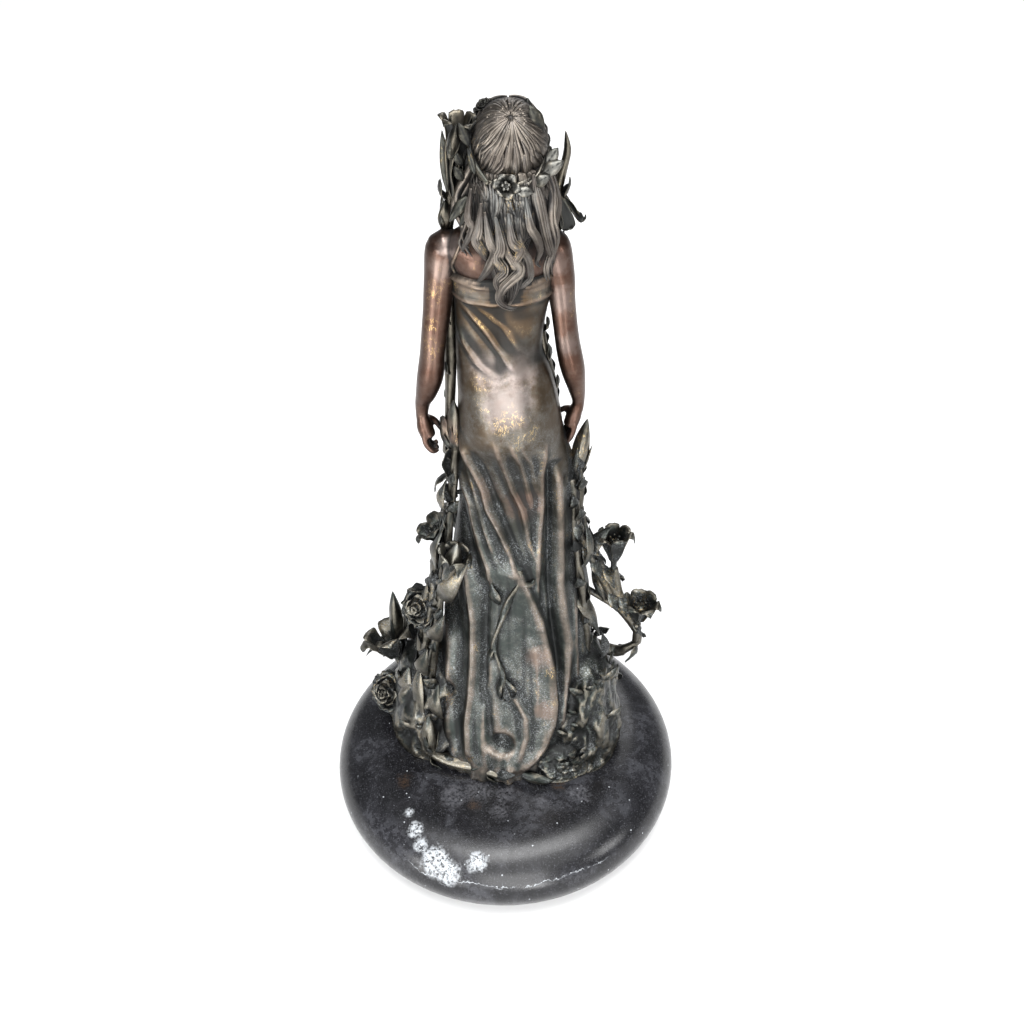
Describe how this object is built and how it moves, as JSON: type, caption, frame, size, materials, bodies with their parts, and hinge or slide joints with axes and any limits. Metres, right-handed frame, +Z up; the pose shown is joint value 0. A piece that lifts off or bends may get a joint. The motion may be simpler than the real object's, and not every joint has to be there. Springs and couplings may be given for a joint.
{
  "type": "bronze statuette on marble base",
  "caption": "Cast bronze woman in a long draped gown with flower wreath and wavy hair, among lilies, roses and vines, standing on a thick round polished black marble base",
  "frame": {"origin": "middle of the flat underside of the marble base", "axes": "+Z up, +Y the way the figure faces, +X to the right when the figure is seen from behind"},
  "size_m": [0.228, 0.228, 0.4827],
  "materials": {
    "bronze": "dark brown patina, rubbed bright on the ridges",
    "marble": "polished black marble with white lime stains"
  },
  "bodies": {
    "root": {"bronze_figure": "bronze", "marble_base": "marble"}
  },
  "joints": []
}
